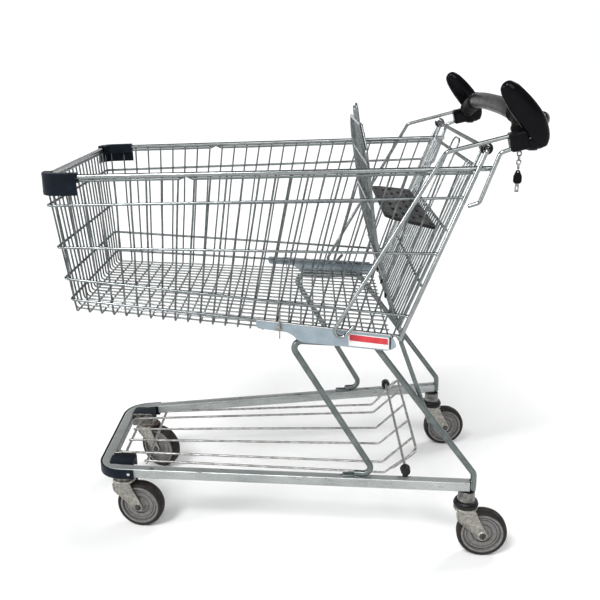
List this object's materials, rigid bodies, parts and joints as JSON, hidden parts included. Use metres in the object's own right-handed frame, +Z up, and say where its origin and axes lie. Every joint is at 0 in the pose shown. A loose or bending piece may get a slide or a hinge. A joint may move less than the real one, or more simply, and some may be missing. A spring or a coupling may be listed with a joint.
{
  "type": "shopping cart",
  "caption": "Wire shopping cart: tapered basket, rear gate with folding child seat, hinged lower tray, raised handle horns and swivel casters.",
  "frame": {"origin": "on the floor, midway between the cart's front and rear ends and between its two sides", "axes": "+X towards the handle (rear), -X towards the nose, +Z up, +Y the cart's far side; the coin key hangs on the -Y side"},
  "size_m": [0.9462, 0.615, 0.9872],
  "materials": {
    "basket_left_grid": "bright zinc plate",
    "basket_right_grid": "bright zinc plate",
    "basket_front_grid": "bright zinc plate",
    "basket_floor_grid": "bright zinc plate",
    "top_rim": "bright zinc plate",
    "corner_bumper_left": "moulded, fine grain",
    "corner_bumper_right": "moulded, fine grain",
    "side_plate_left": "bright zinc plate",
    "side_plate_right": "bright zinc plate",
    "support_rod_left": "bright zinc plate",
    "rear_rod_left": "bright zinc plate",
    "support_rod_right": "bright zinc plate",
    "rear_rod_right": "bright zinc plate",
    "rear_tube_left": "bright zinc plate",
    "hinge_cap_left": "moulded, fine grain",
    "rear_tube_right": "bright zinc plate",
    "hinge_cap_right": "moulded, fine grain",
    "gate_hinge_rod": "dull zinc plate",
    "chassis_frame": "bright zinc plate",
    "corner_pad_left": "moulded, fine grain",
    "corner_pad_right": "moulded, fine grain",
    "front_leg_left": "dull zinc plate",
    "rear_post_left": "dull zinc plate",
    "post_brace_left": "dull zinc plate",
    "front_leg_right": "dull zinc plate",
    "rear_post_right": "dull zinc plate",
    "post_brace_right": "dull zinc plate",
    "caster_housing_front_left": "bright zinc plate",
    "caster_housing_front_right": "bright zinc plate",
    "caster_housing_rear_left": "bright zinc plate",
    "caster_housing_rear_right": "bright zinc plate",
    "handle_block_left": "moulded, glossy",
    "handle_horn_left": "moulded, glossy",
    "handle_block_right": "moulded, glossy",
    "handle_horn_right": "moulded, glossy",
    "handle_grip": "moulded, fine grain",
    "gate_grid": "bright zinc plate",
    "seat_back_grid": "bright zinc plate",
    "seat_plate": "moulded, fine grain",
    "tray_grid": "bright zinc plate",
    "tray_stop_left": "matt",
    "tray_stop_right": "matt",
    "fork_front_left": "bright zinc plate",
    "axle_front_left": "dull zinc plate",
    "hub_front_left": "moulded, scuffed",
    "tyre_front_left": "matt",
    "fork_front_right": "bright zinc plate",
    "axle_front_right": "dull zinc plate",
    "hub_front_right": "moulded, scuffed",
    "tyre_front_right": "matt",
    "fork_rear_left": "bright zinc plate",
    "axle_rear_left": "dull zinc plate",
    "hub_rear_left": "moulded, scuffed",
    "tyre_rear_left": "matt",
    "fork_rear_right": "bright zinc plate",
    "axle_rear_right": "dull zinc plate",
    "hub_rear_right": "moulded, scuffed",
    "tyre_rear_right": "matt",
    "coin_chain": "bright zinc plate",
    "coin_key": "moulded, fine grain"
  },
  "bodies": {
    "cart_frame": {"basket_left_grid": "basket_left_grid", "basket_right_grid": "basket_right_grid", "basket_front_grid": "basket_front_grid", "basket_floor_grid": "basket_floor_grid", "top_rim": "top_rim", "corner_bumper_left": "corner_bumper_left", "corner_bumper_right": "corner_bumper_right", "side_plate_left": "side_plate_left", "side_plate_right": "side_plate_right", "support_rod_left": "support_rod_left", "rear_rod_left": "rear_rod_left", "support_rod_right": "support_rod_right", "rear_rod_right": "rear_rod_right", "rear_tube_left": "rear_tube_left", "hinge_cap_left": "hinge_cap_left", "rear_tube_right": "rear_tube_right", "hinge_cap_right": "hinge_cap_right", "gate_hinge_rod": "gate_hinge_rod", "chassis_frame": "chassis_frame", "corner_pad_left": "corner_pad_left", "corner_pad_right": "corner_pad_right", "front_leg_left": "front_leg_left", "rear_post_left": "rear_post_left", "post_brace_left": "post_brace_left", "front_leg_right": "front_leg_right", "rear_post_right": "rear_post_right", "post_brace_right": "post_brace_right", "caster_housing_front_left": "caster_housing_front_left", "caster_housing_front_right": "caster_housing_front_right", "caster_housing_rear_left": "caster_housing_rear_left", "caster_housing_rear_right": "caster_housing_rear_right", "handle_block_left": "handle_block_left", "handle_horn_left": "handle_horn_left", "handle_block_right": "handle_block_right", "handle_horn_right": "handle_horn_right", "handle_grip": "handle_grip"},
    "gate": {"gate_grid": "gate_grid"},
    "seat_back": {"seat_back_grid": "seat_back_grid"},
    "seat": {"seat_plate": "seat_plate"},
    "tray": {"tray_grid": "tray_grid", "tray_stop_left": "tray_stop_left", "tray_stop_right": "tray_stop_right"},
    "fork_front_left": {"fork_front_left": "fork_front_left", "axle_front_left": "axle_front_left"},
    "wheel_front_left": {"hub_front_left": "hub_front_left", "tyre_front_left": "tyre_front_left"},
    "fork_front_right": {"fork_front_right": "fork_front_right", "axle_front_right": "axle_front_right"},
    "wheel_front_right": {"hub_front_right": "hub_front_right", "tyre_front_right": "tyre_front_right"},
    "fork_rear_left": {"fork_rear_left": "fork_rear_left", "axle_rear_left": "axle_rear_left"},
    "wheel_rear_left": {"hub_rear_left": "hub_rear_left", "tyre_rear_left": "tyre_rear_left"},
    "fork_rear_right": {"fork_rear_right": "fork_rear_right", "axle_rear_right": "axle_rear_right"},
    "wheel_rear_right": {"hub_rear_right": "hub_rear_right", "tyre_rear_right": "tyre_rear_right"},
    "coin_key": {"coin_chain": "coin_chain", "coin_key": "coin_key"}
  },
  "joints": [
    {"name": "gate_swing", "type": "hinge", "parent": "cart_frame", "child": "gate", "pos_m": [0.362, 0, 0.867], "axis": [0, 1, 0], "range_deg": [0, 60]},
    {"name": "seat_back_fold", "type": "hinge", "parent": "gate", "child": "seat_back", "pos_m": [0.2215, 0, 0.508], "axis": [0, 1, 0], "range_deg": [0, 30]},
    {"name": "seat_flip", "type": "hinge", "parent": "gate", "child": "seat", "pos_m": [0.2925, 0, 0.706], "axis": [0, 1, 0], "range_deg": [0, 100]},
    {"name": "tray_lift", "type": "hinge", "parent": "cart_frame", "child": "tray", "pos_m": [-0.384, 0, 0.1485], "axis": [0, -1, 0], "range_deg": [0, 20]},
    {"name": "swivel_front_left", "type": "hinge", "parent": "cart_frame", "child": "fork_front_left", "pos_m": [-0.377, -0.144, 0.115], "axis": [0, 0, 1], "continuous": true},
    {"name": "roll_front_left", "type": "hinge", "parent": "fork_front_left", "child": "wheel_front_left", "pos_m": [-0.34056, -0.15043, 0.0535], "axis": [0.1736, 0.9848, 0], "continuous": true},
    {"name": "swivel_front_right", "type": "hinge", "parent": "cart_frame", "child": "fork_front_right", "pos_m": [-0.377, 0.144, 0.115], "axis": [0, 0, 1], "continuous": true},
    {"name": "roll_front_right", "type": "hinge", "parent": "fork_front_right", "child": "wheel_front_right", "pos_m": [-0.34433, 0.12663, 0.0535], "axis": [0.4695, 0.8829, 0], "continuous": true},
    {"name": "swivel_rear_left", "type": "hinge", "parent": "cart_frame", "child": "fork_rear_left", "pos_m": [0.374, -0.253, 0.115], "axis": [0, 0, 1], "continuous": true},
    {"name": "roll_rear_left", "type": "hinge", "parent": "fork_rear_left", "child": "wheel_rear_left", "pos_m": [0.41091, -0.25558, 0.0535], "axis": [0.0698, 0.9976, 0], "continuous": true},
    {"name": "swivel_rear_right", "type": "hinge", "parent": "cart_frame", "child": "fork_rear_right", "pos_m": [0.374, 0.253, 0.115], "axis": [0, 0, 1], "continuous": true},
    {"name": "roll_rear_right", "type": "hinge", "parent": "fork_rear_right", "child": "wheel_rear_right", "pos_m": [0.41086, 0.25622, 0.0535], "axis": [-0.0872, 0.9962, 0], "continuous": true},
    {"name": "key_swing", "type": "hinge", "parent": "cart_frame", "child": "coin_key", "pos_m": [0.418, -0.291, 0.8651], "axis": [1, 0, 0], "range_deg": [-40, 40]}
  ],
  "couplings": [
    {"joint": "seat_flip", "follows": "seat_back_fold", "ratio": 3.3}
  ]
}
